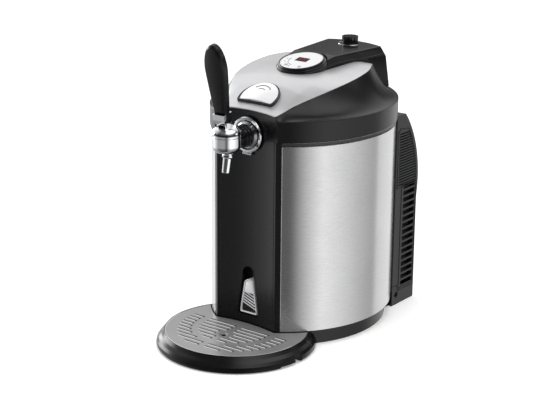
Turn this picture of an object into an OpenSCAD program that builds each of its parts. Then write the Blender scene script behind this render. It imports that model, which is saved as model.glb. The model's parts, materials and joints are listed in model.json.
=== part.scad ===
// Mini keg beer dispenser with a cooled well, a front tap and a drip tray.
// Millimetres, +Z up, front towards -Y, origin on the floor under the body's centre.

/* [Body] */
// Half width of the steel body at its widest
body_half_w = 135; // [130:1:140]
// Radius of each of the two side arcs of the body's plan
side_r = 177; // [170:1:190]
// Where the hollow front panel stands at the middle of its width
front_y = 141; // [136:1:144]
// Radius of the hollow front panel in plan
front_r = 218; // [200:1:240]
// Height of the foot ring under the steel
foot_h = 25; // [22:1:27]
// Height of the steel skin's top edge
steel_top = 314; // [308:1:316]
// Height of the seam between body and lid
seam_z = 321; // [319:1:323]
// Thickness of the moulded plastic walls
wall = 3; // [2.5:0.1:3.5]

/* [Lid] */
// Height of the edge where the lid's rim meets its cover
rim_top = 352.6; // [350:0.2:355]
// How far the lid's rim stands out past the steel
rim_out = 2.4; // [1.5:0.1:3]
// Thickness of the silver top plate
plate_t = 1.5; // [1.2:0.1:2]
// Radius of the round display face
face_r = 33; // [31:0.5:34]
// Forward tilt of the display face in degrees
face_tilt = 12; // [8:1:14]
// Radius of the pressure knob
knob_r = 13; // [11:0.5:13.5]

/* [Keg well] */
// Inner radius of the well that takes a five litre keg
well_r = 91.5; // [89:0.5:92]
// Height of the well's floor
well_floor = 52; // [50:1:60]

/* [Tap] */
// Distance of the tap's upright barrel in front of the body's centre
tap_y = 195; // [192:1:198]
// Height of the tap's level axis
tap_z = 323.5; // [322:0.5:325]
// Radius of the tap's barrel
barrel_r = 22; // [21:0.5:24]
// Radius of the round cover plate behind the tap
rosette_r = 27; // [24:0.5:28]
// Forward lean of the handle as it stands when beer runs
handle_lean = 11; // [8:1:13]

/* [Drip tray] */
// Radius of the slotted tray plate
plate_r = 108.8; // [106:0.2:110]
// Radius of the tray's outer rim at the floor
tray_r = 121; // [119:0.5:123]
// Distance of the tray's centre in front of the body's centre
tray_y = 170; // [168:1:172]
// Height of the tray plate's top face
tray_top = 24; // [22:0.5:24]

/* [Rear cooling unit] */
// Half width of the rear housing
rear_half_w = 103; // [100:1:106]
// Where the steel ends and the rear housing begins
rear_y0 = 107; // [105:1:109]
// Number of fine louvres in each side
louvres = 20; // [12:1:22]
// Number of cooling windows in each side
windows = 16; // [10:1:16]

/* [Hidden] */

$fn = 96;
eps = 0.01;
gap = 0.3;
arc_c = side_r - body_half_w;
front_c = -front_y - front_r;
black = [0.07, 0.07, 0.075];
grey = [0.2, 0.2, 0.21];
silver = [0.78, 0.78, 0.79];
steel = [0.66, 0.67, 0.68];
chrome = [0.88, 0.89, 0.9];

// ---------------------------------------------------------------- plan of the body

// Two equal arcs that cross at the front and the rear
module lens(grow = 0) {
    intersection() {
        translate([arc_c, 0]) circle(side_r + grow, $fn = 240);
        translate([-arc_c, 0]) circle(side_r + grow, $fn = 240);
    }
}

// The body's plan: the crossed arcs with a hollow front and a straight rear
module plan(grow = 0, rear = rear_y0, front_in = undef) {
    difference() {
        lens(grow);
        translate([0, front_c])
            circle(front_r + (is_undef(front_in) ? max(-grow, 0) : front_in), $fn = 240);
        translate([-side_r, rear]) square([2 * side_r, side_r]);
    }
}

// A wall of thickness t that follows the plan, with its outer face at grow
module plan_ring(z0, z1, grow, t, rear = rear_y0, inner_rear = rear_y0) {
    difference() {
        translate([0, 0, z0]) linear_extrude(z1 - z0) plan(grow, rear);
        translate([0, 0, z0 - 1]) linear_extrude(z1 - z0 + 2) plan(grow - t, inner_rear);
    }
}

// Cylinder along X, centred
module x_rod(r, l) {
    rotate([0, 90, 0]) cylinder(r = r, h = l, center = true);
}

// Revolved profile about the tap's level axis: points are [radius, depth in front of the body's centre]
module about_tap_axis(points) {
    translate([0, 0, tap_z]) rotate([90, 0, 0]) rotate_extrude() polygon(points);
}

// Runs its children at both sides of the middle
module both_sides() {
    children();
    mirror([1, 0, 0]) children();
}

// ---------------------------------------------------------------- base and feet

foot_in = 9.3;
pad_t = 2;
foot_rear_half_w = rear_half_w - 7;
foot_rear_y = 162;
feet = [[-70, -95], [70, -95], [-76, 140], [76, 140]];

module base_plan(in = 0) {
    plan(-foot_in - in, rear_y0 - in);
    translate([-foot_rear_half_w + in, rear_y0 - 20])
        square([2 * (foot_rear_half_w - in), foot_rear_y - rear_y0 + 20 - in]);
}

module base_foot() {
    floor_t = 3.5;
    color(black) difference() {
        linear_extrude(foot_h) base_plan();
        translate([0, 0, floor_t]) linear_extrude(foot_h) base_plan(wall);
        for (x = [-40 : 16 : 40]) translate([x - 4, 20, -1]) cube([8, 60, 10]);
        rubber_pads();
    }
}

module rubber_pads() {
    for (p = feet) translate([p[0], p[1], 0]) cylinder(r = 9, h = pad_t);
}

module rubber_feet() {
    color(black) rubber_pads();
}

// ---------------------------------------------------------------- body skins and carrier

skin_t = 0.8;
trim_w = 5;
trim_back = 5;

// The plan's front corner, where the side arc crosses the hollow front
corner_y = 148;
corner_x = sqrt(side_r * side_r - corner_y * corner_y) - arc_c;

// Keeps a ring's two side walls, behind the corner trims, and drops its front wall
module side_zone(inner) {
    both_sides() translate([inner, -corner_y + trim_back, 0]) cube([side_r, 2 * side_r, seam_z]);
}

module steel_side() {
    color(steel) intersection() {
        plan_ring(foot_h, steel_top, 0, skin_t, rear_y0, rear_y0 + 9);
        translate([corner_x, -corner_y + trim_back, 0]) cube([side_r, 2 * side_r, steel_top]);
    }
}

module steel_side_left() { mirror([1, 0, 0]) steel_side(); }

module steel_side_right() { steel_side(); }

deck_z = 314;
deck_notch_r = 16;
cup_half_w = 22;

module body_shell() {
    color(black) difference() {
        union() {
            intersection() {
                plan_ring(foot_h, deck_z, -skin_t, wall, rear_y0, rear_y0 - wall);
                union() {
                    side_zone(corner_x);
                    translate([-side_r, 0, 0]) cube([2 * side_r, side_r, deck_z]);
                }
            }
            difference() {
                translate([0, 0, deck_z - wall]) linear_extrude(wall) plan(-wall);
                translate([0, well_back, deck_z - wall - 1]) cylinder(r = well_r + 1.5, h = wall + 2);
            }
        }
        translate([-20.5, rear_y0 - 30, cold_z - 20.5]) cube([41, 40, 41]);
        translate([0, -front_y, tap_z]) rotate([-90, 0, 0])
            cylinder(r = deck_notch_r, h = 60, center = true);
    }
}

// The well's axis, behind the body's centre line by this much
well_back = -15;

module front_panel() {
    color(black) difference() {
        intersection() {
            plan_ring(foot_h, seam_z - 0.5, 0, wall);
            translate([-corner_x + trim_w, -corner_y - 5, 0])
                cube([2 * (corner_x - trim_w), 20, seam_z]);
        }
        translate([0, -front_y, tap_z]) rotate([90, 0, 0]) cylinder(r = 12.5, h = 40, center = true);
        translate([0, -front_y + 10, 0]) rotate([90, 0, 0]) linear_extrude(30) cup_outline();
    }
}

module corner_trims() {
    color(black) both_sides() difference() {
        intersection() {
            plan_ring(foot_h, seam_z - 0.5, 0, wall);
            translate([corner_x - trim_w, -corner_y - 5, 0]) cube([20, trim_back + 5, seam_z]);
        }
        // A fine groove down the trim's front
        translate([corner_x - trim_w + 1.2, -corner_y - 5, foot_h - 1]) cube([0.8, 6.5, seam_z]);
    }
}

module seam_trim() {
    difference() {
        union() {
            color(black) seam_ring(deck_z, deck_z + 2, -1, 8);
            color(grey) seam_ring(deck_z + 2, seam_z - 0.8, 0.8, 9);
        }
        translate([0, well_back, deck_z - 1]) cylinder(r = well_r + 6, h = 10);
    }
}

module seam_ring(z0, z1, grow, t) {
    intersection() {
        plan_ring(z0, z1, grow, t, rear_y0, rear_y0 - t);
        union() {
            side_zone(corner_x);
            translate([-side_r, 0, 0]) cube([2 * side_r, side_r, seam_z]);
        }
    }
}

// ---------------------------------------------------------------- cooled well

module insulation() {
    color([0.93, 0.9, 0.8]) difference() {
        translate([0, 0, foot_h]) linear_extrude(deck_z - wall - foot_h)
            plan(-skin_t - wall - 0.2, rear_y0 - wall);
        translate([0, well_back, well_floor - 2]) cylinder(r = well_r + 1.6, h = 300);
        translate([-40.5, 60, cold_z - 40.5]) cube([81, 60, 81]);
        translate([-cup_half_w - 3, -front_y - 5, 0]) cube([2 * cup_half_w + 6, 40, 130]);
        translate([0, -front_y, tap_z]) rotate([90, 0, 0]) cylinder(r = 22, h = 70, center = true);
        translate([-corner_x - 5, -corner_y - 5, 0]) cube([2 * corner_x + 10, 14, 400]);
    }
}

module cooling_well() {
    color(silver) translate([0, well_back, 0]) difference() {
        union() {
            translate([0, 0, well_floor - 2]) cylinder(r = well_r + 1.5, h = deck_z + 2 - well_floor);
            translate([0, 0, deck_z]) cylinder(r = well_r + 5.8, h = 2);
        }
        translate([0, 0, well_floor]) cylinder(r = well_r, h = 300);
        // Notch in the flange where the beer hose crosses it
        translate([0, -well_r + 6, tap_z]) rotate([90, 0, 0]) cylinder(r = 8.5, h = 20);
    }
}

cold_z = 160;

// Block that sits against the well and reaches out through the shell's window
module cold_plate() {
    color(silver) difference() {
        union() {
            translate([-40, 68, cold_z - 40]) cube([80, rear_y0 - wall - 68, 80]);
            translate([-20, rear_y0 - wall - 1, cold_z - 20]) cube([40, wall + 2, 40]);
        }
        translate([0, well_back, 100]) cylinder(r = well_r + 1.5, h = 120);
    }
}

module cooler_module() {
    color("white") translate([-20, rear_y0 + 1, cold_z - 20]) cube([40, 4, 40]);
}

sink_y = 112;
sink_half_w = 96;
fin_pitch = 8;

module heat_sink() {
    color(silver) {
        translate([-sink_half_w, sink_y, 32]) cube([2 * sink_half_w, 6, 164]);
        for (i = [-12 : 12])
            translate([i * fin_pitch - 0.8, sink_y + 6 - eps, 32]) cube([1.6, 42, 164]);
    }
}

fan_z = 242;
fan_y = 132;
fan_half_w = 46;
fan_hub_r = 18;
fan_blade_r = 42;
fan_blades = 7;

module fan_frame() {
    color(black) difference() {
        union() {
            difference() {
                translate([-fan_half_w, fan_y - 12, fan_z - fan_half_w])
                    cube([2 * fan_half_w, 24, 2 * fan_half_w]);
                translate([0, fan_y, fan_z]) rotate([90, 0, 0]) cylinder(r = 44, h = 30, center = true);
            }
            translate([0, fan_y - 10.5, fan_z]) rotate([90, 0, 0]) cylinder(r = 17, h = 3, center = true);
            for (a = [45 : 90 : 315]) translate([0, fan_y - 10.5, fan_z]) rotate([0, a, 0])
                translate([16, -1.5, -2]) cube([32, 3, 4]);
        }
        for (x = [-41, 41], z = [-41, 41]) translate([x, fan_y, fan_z + z]) rotate([90, 0, 0])
            cylinder(r = 2.2, h = 30, center = true);
    }
}

module fan_rotor() {
    color(grey) {
        translate([0, fan_y + 1, fan_z]) rotate([90, 0, 0]) cylinder(r = fan_hub_r, h = 18, center = true);
        for (i = [0 : fan_blades - 1]) translate([0, fan_y + 1, fan_z]) rotate([0, i * 360 / fan_blades, 0])
            translate([fan_hub_r - 1.5, 0, 0]) rotate([38, 0, 0])
                translate([0, -8, -1]) cube([fan_blade_r - fan_hub_r, 16, 2]);
    }
}

// Side view of the rear housing: an upright wall that rolls over into a shoulder
rear_arc_r = 170;
rear_arc_c = [4, 205];
rear_wall_y = 171;
rear_top = 318;

module rear_profile(in = 0) {
    intersection() {
        union() {
            translate(rear_arc_c) circle(rear_arc_r - in, $fn = 240);
            translate([rear_y0, 0]) square([rear_wall_y - rear_y0 - in, rear_arc_c[1]]);
        }
        translate([rear_y0, in]) square([100, rear_top - 2 * in]);
    }
}

// Turns a side view drawn in (y, z) into a solid of half width w
module side_extrude(w) {
    rotate([90, 0, 90]) translate([0, 0, -w]) linear_extrude(2 * w) children();
}

louvre_y0 = rear_y0 + 8;
louvre_z0 = 202;
louvre_pitch = 4.4;
louvre_gap = 2.2;
window_y0 = 131;
window_w = 34;
window_z0 = 30;
window_pitch = 10.9;
window_h = 7.5;
hinge_y = 156;
hinge_z = 318;

module rear_housing() {
    ear_x = 24.3;
    ear_w = 9;
    color(grey) difference() {
        union() {
            difference() {
                side_extrude(rear_half_w) rear_profile();
                side_extrude(rear_half_w - wall) translate([-1, 0]) rear_profile(wall);
            }
            // Ears that carry the lid's hinge pin
            both_sides() translate([ear_x, 0, 0]) hinge_ear(ear_w);
        }
        // Room for the foot's rear
        translate([-foot_rear_half_w - 0.2, 0, -1])
            cube([2 * foot_rear_half_w + 0.4, foot_rear_y + 0.2, foot_h + 1]);
        // Fine louvres, shorter towards the shoulder
        for (i = [0 : louvres - 1]) {
            z = louvre_z0 + i * louvre_pitch;
            l = sqrt(pow(rear_arc_r, 2) - pow(z - rear_arc_c[1], 2)) + rear_arc_c[0] - 9 - louvre_y0;
            translate([-rear_half_w - 1, louvre_y0, z]) cube([2 * rear_half_w + 2, l, louvre_gap]);
        }
        // Cooling windows beside the heat sink
        for (i = [0 : windows - 1])
            translate([-rear_half_w - 1, window_y0, window_z0 + i * window_pitch])
                cube([2 * rear_half_w + 2, window_w, window_h]);
        // Outlet slots behind the fan and the sink
        for (i = [0 : 9]) translate([-38, rear_wall_y - 12, 206 + i * 8]) cube([76, 20, 4]);
        for (i = [0 : 13]) translate([-80, rear_wall_y - 12, 44 + i * 11]) cube([160, 20, 5]);
        translate([0, hinge_y, hinge_z]) x_rod(2.5, 80);
        translate([rear_half_w - 5, inlet_y, inlet_z]) rotate([0, 90, 0]) cylinder(r = 5.5, h = 10);
    }
}

module hinge_ear(w) {
    rotate([90, 0, 90]) linear_extrude(w) difference() {
        union() {
            translate([hinge_y, hinge_z]) circle(6);
            polygon([[hinge_y - 16, 290], [hinge_y + 6, 268], [hinge_y + 6, hinge_z],
                     [hinge_y - 6, hinge_z]]);
        }
        translate(rear_arc_c) circle(rear_arc_r - 0.1, $fn = 240);
    }
}

inlet_y = 119;
inlet_z = 17;

module power_inlet() {
    color(black) translate([rear_half_w - 6.5, inlet_y, inlet_z]) rotate([0, 90, 0]) {
        difference() {
            union() {
                cylinder(r = 5.5, h = 6);
                translate([-7, -7, 1.5]) cube([14, 14, 2]);
            }
            translate([0, 0, 1.5]) cylinder(r = 4, h = 8);
        }
        for (y = [-1.8, 1.8]) translate([0, y, 1.4]) cylinder(r = 0.7, h = 4);
    }
}

module control_board() {
    color([0.1, 0.35, 0.2]) translate([-45, -60, 7]) cube([90, 70, 1.6]);
    color(black) {
        translate([-30, -50, 8.6]) cube([26, 20, 7]);
        translate([12, -48, 8.6]) cylinder(r = 6, h = 9);
        for (x = [-38, 38], y = [-54, 4]) translate([x, y, 3.5]) cylinder(r = 3, h = 3.5);
    }
}

module hinge_pin() {
    color(steel) translate([0, hinge_y, hinge_z]) x_rod(2.5, 72);
}

keeper_x = 40;
hook_y = -118;
nose = 3.5;
bar_z = seam_z + 24;

// Bent steel catch: a post on the deck with a lip towards the hook's nose
module latch_keepers() {
    color(steel) both_sides() translate([keeper_x - 5, hook_y + 1.5 + nose + 0.4, deck_z]) {
        translate([0, 3.5, 0]) cube([10, 1.5, 5.4]);
        translate([0, 0, 3.4]) cube([10, 5, 2]);
        translate([0, 3.5, 0]) cube([10, 3, 1]);
    }
}

// ---------------------------------------------------------------- slider in the front panel

cup_z0 = 36;
cup_top = 117;
cup_r_low = 20;
cup_r_high = 12;

// Upright drop shape: broad foot, narrow rounded top
module cup_outline(grow = 0) {
    hull() {
        translate([-cup_r_low - grow, cup_z0 - grow]) square([2 * (cup_r_low + grow), 8]);
        translate([0, cup_top - cup_r_high]) circle(cup_r_high + grow, $fn = 48);
    }
}

cup_depth = 16;

module slider_cup() {
    color(black) difference() {
        translate([0, -front_y + cup_depth, 0]) rotate([90, 0, 0]) linear_extrude(cup_depth + 0.4)
            cup_outline();
        translate([0, -front_y + cup_depth - 2, 0]) rotate([90, 0, 0]) linear_extrude(cup_depth + 10)
            cup_outline(-1.3);
    }
}

slider_top = 97;
slider_half_w = 15.5;

module slider_outline(grow = 0) {
    hull() {
        translate([-slider_half_w - grow, cup_z0 + 3.5 - grow]) square([2 * (slider_half_w + grow), 6]);
        translate([0, slider_top - 11]) circle(8.5 + grow, $fn = 48);
    }
}

module tray_slider() {
    back = -front_y + cup_depth - 2 - gap;
    frame_w = 2.4;
    ribs = 7;
    rib_pitch = 3.6;
    color(chrome) {
        difference() {
            translate([0, back, 0]) rotate([90, 0, 0]) linear_extrude(cup_depth - 2 - gap) slider_outline();
            // Thumb hollow inside the arched frame, and the open mouth at its foot
            translate([0, -front_y + 6, 0]) rotate([90, 0, 0]) linear_extrude(cup_depth)
                slider_outline(-frame_w);
        }
        // Raised pad at the top of the hollow and ribs below it
        intersection() {
            translate([0, back, 0]) rotate([90, 0, 0]) linear_extrude(cup_depth)
                slider_outline(-frame_w + 0.1);
            union() {
                translate([0, -front_y + 27.5, 80]) x_rod(26, 60);
                for (i = [0 : ribs - 1]) translate([0, -front_y + 5.2, 49 + i * rib_pitch]) x_rod(1.2, 60);
            }
        }
    }
}

// ---------------------------------------------------------------- tap

shank_r = 8;

module tap_shank() {
    color(chrome) about_tap_axis([[3.5, 104], [6, 104], [6, 118], [shank_r, 118], [shank_r, 141.2],
                                  [12, 141.2], [12, 150], [10, 150], [10, 171], [3.5, 171]]);
}

module shank_nut() {
    color(steel) difference() {
        translate([0, -front_y + wall, tap_z]) rotate([-90, 0, 0]) cylinder(r = 14, h = 7, $fn = 6);
        translate([0, -front_y, tap_z]) rotate([-90, 0, 0]) cylinder(r = shank_r, h = 40, center = true);
    }
}

// The turning ring stands in front of the panel and the lid, behind the cover plate; its tab hangs below
ring_y = 143.6;
ring_front = 145.1;
ring_bore = 12.05;
tab_z = tap_z - rosette_r - 3.5;

module lock_ring() {
    color(chrome) difference() {
        union() {
            about_tap_axis([[ring_bore, ring_y], [20, ring_y], [20, ring_front], [ring_bore, ring_front]]);
            translate([-8, -ring_front, tab_z]) cube([16, ring_front - ring_y, 14]);
            translate([0, -ring_front + 0.7, tab_z + 1.4]) x_rod(2, 16);
        }
        translate([0, -front_y, tap_z]) rotate([-90, 0, 0]) cylinder(r = ring_bore, h = 40, center = true);
        translate([-20, -ring_y, 280]) cube([40, 5, 40]);
    }
}

module rosette() {
    color(chrome) about_tap_axis([[12, 145.4], [rosette_r, 145.4], [rosette_r, 146.4],
                                  [rosette_r - 1, 147.6], [rosette_r - 4, 148], [20, 147.2],
                                  [16, 149.6], [12, 150]]);
}

module neck_rings() {
    color(black) about_tap_axis([[10, 150.2], [16.5, 150.2], [17.5, 151.4], [17.5, 153], [14.5, 154.4],
                                 [14.5, 155.4], [17, 156.6], [17, 158.2], [14, 159.6], [14, 160.6],
                                 [16.5, 161.8], [16.5, 163.4], [13.5, 164.8], [13.5, 166.4],
                                 [15.5, 167.6], [15.5, 169.5], [10, 169.5]]);
}

barrel_z0 = 307;
barrel_top = 347;
chamber_r = 7.5;
foot_round = 12;
shoulder_round = 14;
groove_z = 331;
spout_lean = 11;

module tap_body() {
    color(chrome) difference() {
        union() {
            translate([0, -tap_y, 0]) rotate_extrude() difference() {
                // Round foot, straight wall and round shoulder, with a fine groove under the shoulder
                union() {
                    translate([0, barrel_z0]) square([barrel_r - foot_round, barrel_top - barrel_z0]);
                    translate([0, barrel_z0 + foot_round])
                        square([barrel_r, groove_z - barrel_z0 - foot_round + 2]);
                    intersection() {
                        union() {
                            translate([barrel_r - foot_round, barrel_z0 + foot_round]) circle(foot_round);
                            translate([barrel_r - shoulder_round, barrel_top - shoulder_round])
                                circle(shoulder_round);
                        }
                        translate([0, barrel_z0]) square([barrel_r + 1, barrel_top - barrel_z0]);
                    }
                }
                translate([barrel_r - 1.2, groove_z]) square([2, 1.2]);
            }
            // Shoulder where the neck runs into the barrel
            about_tap_axis([[3.5, 169.6], [14, 169.6], [15.2, 170.8], [15.2, 182], [12, 188], [3.5, 190]]);
        }
        translate([0, -tap_y, 311]) cylinder(r = chamber_r, h = 60);
        translate([0, -tap_y, barrel_top - 9]) cylinder(r1 = chamber_r, r2 = 15.5, h = 10);
        translate([0, -spout_y, barrel_z0 - 5]) cylinder(r = 4, h = 10);
        translate([0, -tap_y, tap_z]) rotate([-90, 0, 0]) cylinder(r = 3.5, h = 60);
        translate([0, -171, tap_z]) rotate([-90, 0, 0]) cylinder(r = 10, h = 30);
        translate([0, -tap_y, pivot_z]) x_rod(2, 36);
    }
}

spout_y = 190;

module tap_spout() {
    color(chrome) difference() {
        translate([0, -spout_y, barrel_z0]) rotate([-spout_lean, 0, 0]) rotate_extrude()
            polygon([[4, -31.5], [5.4, -31.5], [5.8, -30.5], [6.4, -10], [8.4, -8], [8.4, -5.5],
                     [7.4, -4.5], [7.4, -3], [9.5, -2], [9.5, 3], [4, 3]]);
        translate([0, -spout_y, barrel_z0]) cylinder(r = 20, h = 10);
    }
}

pivot_z = 334;

module valve_stem() {
    color(steel) translate([0, -tap_y, 0]) rotate_extrude() polygon([[0, 315], [chamber_r - 0.08, 315],
        [chamber_r - 0.08, 319], [3, 319.5], [3, 326.5], [0, 326.5]]);
}

module lever_pin() {
    color(steel) translate([0, -tap_y, pivot_z]) x_rod(2, 36);
}

// Places its children along the leaning handle, from the lever's pivot
module on_lever() {
    translate([0, -tap_y, pivot_z]) rotate([handle_lean, 0, 0]) children();
}

ferrule_top = 35;
handle_out = 3;
// Threaded stud that holds the handle: radius and its two ends above the pivot
stud_r = 3;
stud_z0 = 7;
stud_top = 70;

module tap_lever() {
    color(chrome) difference() {
        on_lever() {
            difference() {
                union() {
                    rotate_extrude() polygon([[0, -5.8], [3.4, -4.8], [5.5, 0], [5.5, 5.5], [0, 5.5]]);
                    // Block that flares towards the handle, more to the front than to the rear
                    hull() {
                        translate([-4, -4, 3]) cube([8, 8, 4]);
                        translate([-10.5, -12.5, ferrule_top - 9]) cube([21, 19, 9]);
                    }
                }
                translate([0, 0, -20]) cylinder(r = 30, h = 14);
            }
            translate([0, -handle_out, stud_z0]) cylinder(r = stud_r, h = stud_top - stud_z0);
        }
        translate([0, -tap_y, pivot_z]) x_rod(2.05, 40);
    }
}

handle_len = 105;
handle_t = 15;
paddle_shoulder = 68;
paddle_half_w = 18;
paddle_chamfer = 3.4;

// Front view of the paddle: narrow foot, wide shoulders and a round top
module paddle_outline(in = 0) {
    hull() {
        translate([-11 + in, in]) square([22 - 2 * in, 2]);
        translate([0, paddle_shoulder])
            scale([(paddle_half_w - in) / (handle_len - paddle_shoulder - in), 1])
            circle(handle_len - paddle_shoulder - in, $fn = 64);
    }
}

module tap_handle() {
    color(black) difference() {
        on_lever() translate([0, -handle_out, ferrule_top]) intersection() {
            hull() {
                translate([0, handle_t / 2, 0]) rotate([90, 0, 0]) linear_extrude(handle_t)
                    paddle_outline(paddle_chamfer);
                translate([0, handle_t / 2 - 3, 0]) rotate([90, 0, 0]) linear_extrude(handle_t - 6)
                    paddle_outline();
            }
            translate([0, 0, 0.05]) linear_extrude(handle_len) square([60, 60], center = true);
        }
        on_lever() translate([0, -handle_out, stud_z0]) cylinder(r = stud_r, h = stud_top - stud_z0);
    }
}

hose_r = 6;
coupler_z = 303;

// Hose end to end: up from the coupler, round a corner and forward onto the shank
module beer_hose() {
    color([0.85, 0.87, 0.88]) translate([0, well_back, 0]) difference() {
        union() {
            translate([0, 0, tap_z]) rotate([90, 0, 0]) cylinder(r = hose_r + 2, h = 102);
            translate([0, 0, tap_z]) sphere(hose_r + 2, $fn = 48);
            translate([0, 0, coupler_z + 12]) cylinder(r = hose_r + 2, h = tap_z - coupler_z - 12);
        }
        translate([0, 0, tap_z]) rotate([90, 0, 0]) cylinder(r = hose_r, h = 110);
        translate([0, 0, coupler_z]) cylinder(r = hose_r, h = tap_z - coupler_z);
    }
}

// Stepped plastic fitting that stands on the keg's bung
module keg_coupler() {
    color(black) translate([0, well_back, coupler_z]) difference() {
        rotate_extrude() polygon([[3.5, 0], [17, 0], [17, 5], [15, 7], [11, 8], [11, 12], [hose_r, 12],
                                  [hose_r, 17], [3.5, 17]]);
        translate([0, 0, -1]) cylinder(r = 12, h = 3);
    }
}

module screw_head(r, h) {
    difference() {
        cylinder(r = r, h = h);
        for (a = [0, 90]) rotate([0, 0, a]) translate([-r * 0.6, -0.4, h - 0.6]) cube([r * 1.2, 0.8, 1]);
    }
}

module housing_screws() {
    color(steel) for (x = [-92, 92], z = [40, 150])
        translate([x, rear_wall_y, z]) rotate([-90, 0, 0]) screw_head(3.2, 1.4);
}

// ---------------------------------------------------------------- lid surfaces

// Stations along the lid, front to rear: distance, half width of the silver plate, height at its edge
// and height on the middle line
stations = [
    [-148, 54.5, 359.6, 361.5], [-130, 55.5, 362.5, 370], [-112, 62, 369.5, 380], [-92, 75, 378, 389.5],
    [-62, 89, 387.2, 397.5], [-26, 96.5, 394, 401.3], [6, 97.2, 398.6, 402.5], [36, 92.6, 402, 404],
    [66, 79, 403.5, 405], [90, 65, 399, 400], [104, 59, 387, 387], [120, 58, 366, 366],
    [149, 54.5, 353.4, 353.4]
];
lid_rear = 149;
plate_rear = 92;

// Smooth curve through four neighbouring values
function smooth(a, b, c, d, t) =
    0.5 * (2 * b + (c - a) * t + (2 * a - 5 * b + 4 * c - d) * t * t + (3 * b - a - 3 * c + d) * pow(t, 3));
function station_at(y, i = 0) = i >= len(stations) - 2 || y < stations[i + 1][0] ? i : station_at(y, i + 1);
function along(y, k) =
    let (i = station_at(y), n = len(stations) - 1,
         t = (y - stations[i][0]) / (stations[i + 1][0] - stations[i][0]))
    smooth(stations[max(i - 1, 0)][k], stations[i][k], stations[i + 1][k], stations[min(i + 2, n)][k], t);
function lens_half(y, grow) = sqrt(pow(side_r + grow, 2) - y * y) - arc_c;
function front_at(x) = front_c + sqrt(pow(front_r, 2) - pow(min(abs(x), corner_x), 2));

// Distance from the front as the lid's grid bends with its hollow front
function bent_y(x, y) =
    let (t = (y + corner_y) / (corner_y + lid_rear)) front_at(x) * (1 - t) + lid_rear * t;
wing_power = 1.9;
function plate_height(x, y) =
    let (e = along(y, 1)) along(y, 3) - (along(y, 3) - along(y, 2)) * pow(min(abs(x) / e, 1), 2);
function wing_height(v, y) = rim_top + (along(y, 2) - rim_top) * pow(1 - v, wing_power);

plate_cols = 12;
wing_cols = 8;
rows = 33;
row_y = [for (i = [0 : rows]) -corner_y + (lid_rear + corner_y) * i / rows];
plate_rows = [for (y = row_y) if (y < plate_rear) y];

// One row of the lid's upper surface, left to right; drop sinks the part under the silver plate
function wing_row(y, side) =
    let (e = along(y, 1), w = lens_half(y, rim_out) - 0.1)
    [for (j = [0 : wing_cols])
        let (v = side > 0 ? j / wing_cols : 1 - j / wing_cols, x = side * (e + (w - e) * v))
        [x, bent_y(x, y), wing_height(v, y)]];
function plate_row(y, drop, in) =
    let (e = along(y, 1) - in)
    [for (j = [0 : plate_cols]) let (x = e * (2 * j / plate_cols - 1))
        [x, bent_y(x, y), plate_height(x, y) - drop]];
function cover_row(y) =
    concat(wing_row(y, -1), plate_row(y, y < plate_rear ? plate_t : 0, 0.02), wing_row(y, 1));

// Closed skin between an upper and a lower grid of equal size
module grid_solid(top, low) {
    m = len(top);
    n = len(top[0]);
    points = concat([for (r = top) each r], [for (r = low) each r]);
    s = m * n;
    up = [for (i = [0 : m - 2], j = [0 : n - 2]) each [
        [i * n + j, (i + 1) * n + j, (i + 1) * n + j + 1],
        [i * n + j, (i + 1) * n + j + 1, i * n + j + 1]]];
    down = [for (f = up) [f[2] + s, f[1] + s, f[0] + s]];
    ends = [for (j = [0 : n - 2]) each [
        [j, j + 1, j + 1 + s], [j, j + 1 + s, j + s],
        [(m - 1) * n + j + 1, (m - 1) * n + j, (m - 1) * n + j + s],
        [(m - 1) * n + j + 1, (m - 1) * n + j + s, (m - 1) * n + j + 1 + s]]];
    sides = [for (i = [0 : m - 2]) each [
        [(i + 1) * n, i * n, i * n + s], [(i + 1) * n, i * n + s, (i + 1) * n + s],
        [i * n + n - 1, (i + 1) * n + n - 1, (i + 1) * n + n - 1 + s],
        [i * n + n - 1, (i + 1) * n + n - 1 + s, i * n + n - 1 + s]]];
    polyhedron(points, concat(up, down, ends, sides), convexity = 8);
}

rim_seam = rim_top - 1.6;

// The cover's underside: a thin shell that comes down to the rim all round
function under(p, y, i) =
    let (edge = i < 2 || i >= rows, w = lens_half(y, rim_out))
    [p[0], p[1], edge || abs(p[0]) > w - 4 ? rim_seam : max(p[2] - 2.6, rim_seam)];

module lid_cover() {
    top = [for (y = row_y) cover_row(y)];
    low = [for (i = [0 : rows]) [for (p = top[i]) under(p, row_y[i], i)]];
    color(black) difference() {
        grid_solid(top, low);
        button_hole();
    }
}

module lid_plate() {
    top = [for (y = plate_rows) plate_row(y, 0, 0.02)];
    low = [for (y = plate_rows) plate_row(y, plate_t, 0.02)];
    color(silver) difference() {
        grid_solid(top, low);
        button_hole();
    }
}

module lid_rim() {
    color(black) difference() {
        union() {
            difference() {
                translate([0, 0, seam_z]) linear_extrude(rim_seam - seam_z) plan(rim_out, lid_rear);
                translate([0, 0, seam_z - 1]) linear_extrude(60)
                    plan(rim_out - wall, lid_rear - wall, wall);
            }
            // Hinge knuckle at the rear
            rotate([90, 0, 90]) translate([0, 0, -24]) linear_extrude(48) union() {
                translate([hinge_y, hinge_z]) circle(5.5);
                polygon([[lid_rear - 1, seam_z + 0.5], [hinge_y, hinge_z - 5.5], [hinge_y + 5.5, hinge_z],
                         [lid_rear - 1, rim_seam - 12]]);
            }
        }
        translate([0, hinge_y, hinge_z]) x_rod(2.55, 60);
        translate([0, -front_y, tap_z]) rotate([90, 0, 0]) cylinder(r = 15.5, h = 60, center = true);
    }
}

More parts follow.
